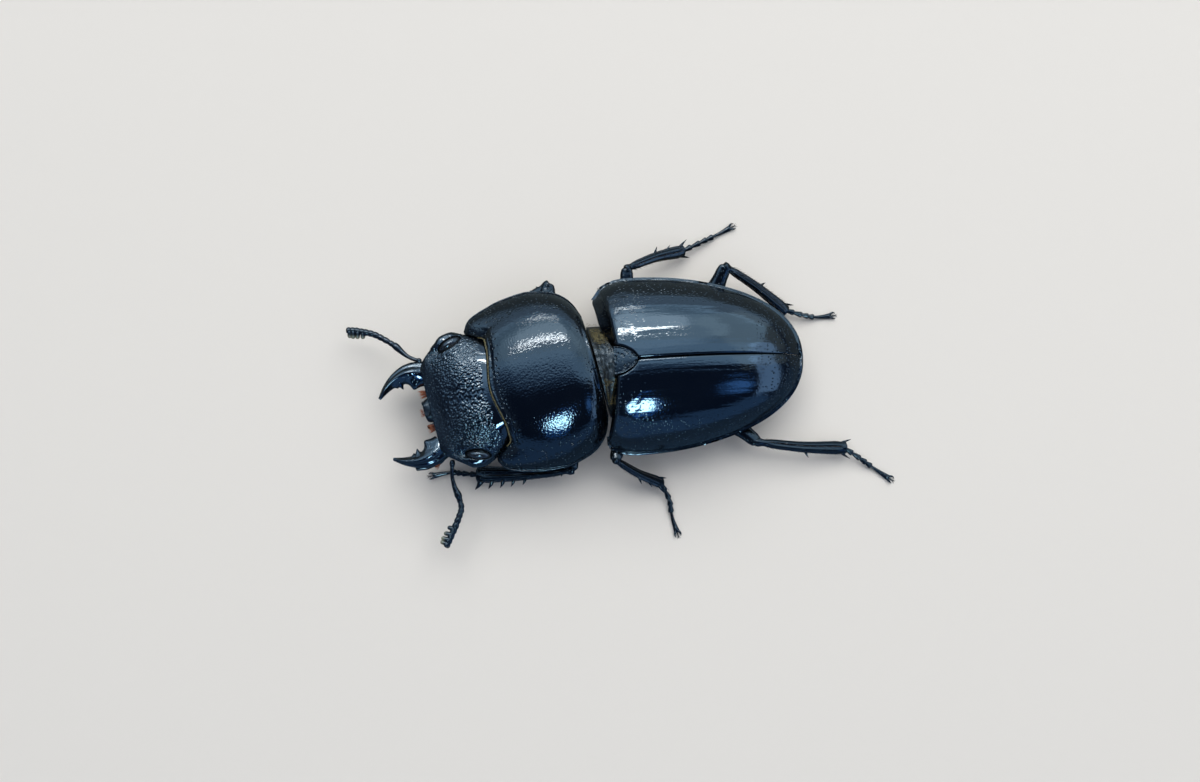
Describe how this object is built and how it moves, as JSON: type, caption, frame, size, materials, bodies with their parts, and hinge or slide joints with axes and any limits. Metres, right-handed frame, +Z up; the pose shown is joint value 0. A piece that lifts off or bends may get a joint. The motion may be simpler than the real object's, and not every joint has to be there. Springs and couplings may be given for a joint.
{
  "type": "stag beetle",
  "caption": "Life-size still model of a short-jawed black stag beetle, standing with its fore body turned slightly to the left, for display or study.",
  "frame": {"origin": "middle of the beetle's box in plan, on the floor it stands on", "axes": "head towards -Y, the beetle's own left side towards +X, +Z up, the hind body's axis along Y"},
  "size_m": [0.0326, 0.0548, 0.011],
  "materials": {
    "wing_case": "glossy black chitin with fine punctures",
    "pronotum": "glossy black chitin, coarsely pitted along the sides",
    "head": "black chitin, coarsely wrinkled",
    "scutellum": "black chitin, pitted",
    "jaw": "polished black chitin",
    "leg": "glossy black chitin",
    "belly": "satin black-brown chitin",
    "waist": "dull brown-black, downy",
    "feeler": "glossy black",
    "feeler_club": "matt grey-brown",
    "eye": "smooth glossy dark grey"
  },
  "bodies": {
    "root": {"abdomen": "belly", "antenna_club_left": "feeler_club", "antenna_club_right": "feeler_club", "antenna_scape_left": "feeler", "antenna_scape_right": "feeler", "antenna_stalk_left": "feeler", "antenna_stalk_right": "feeler", "coxa_fore_left": "leg", "coxa_fore_right": "leg", "coxa_hind_left": "leg", "coxa_hind_right": "leg", "coxa_mid_left": "leg", "coxa_mid_right": "leg", "elytron_left": "wing_case", "elytron_right": "wing_case", "eye_left": "eye", "eye_right": "eye", "femur_fore_left": "leg", "femur_fore_right": "leg", "femur_hind_left": "leg", "femur_hind_right": "leg", "femur_mid_left": "leg", "femur_mid_right": "leg", "head": "head", "labial_palp_left": "feeler", "labial_palp_right": "feeler", "labrum": "head", "mandible_left": "jaw", "mandible_right": "jaw", "maxillary_palp_left": "feeler", "maxillary_palp_right": "feeler", "mentum": "head", "mesonotum": "waist", "pronotum": "pronotum", "prosternum": "belly", "pterothorax": "belly", "scutellum": "scutellum", "tarsus_fore_left": "leg", "tarsus_fore_right": "leg", "tarsus_hind_left": "leg", "tarsus_hind_right": "leg", "tarsus_mid_left": "leg", "tarsus_mid_right": "leg", "tibia_fore_left": "leg", "tibia_fore_right": "leg", "tibia_hind_left": "leg", "tibia_hind_right": "leg", "tibia_mid_left": "leg", "tibia_mid_right": "leg"}
  },
  "joints": []
}
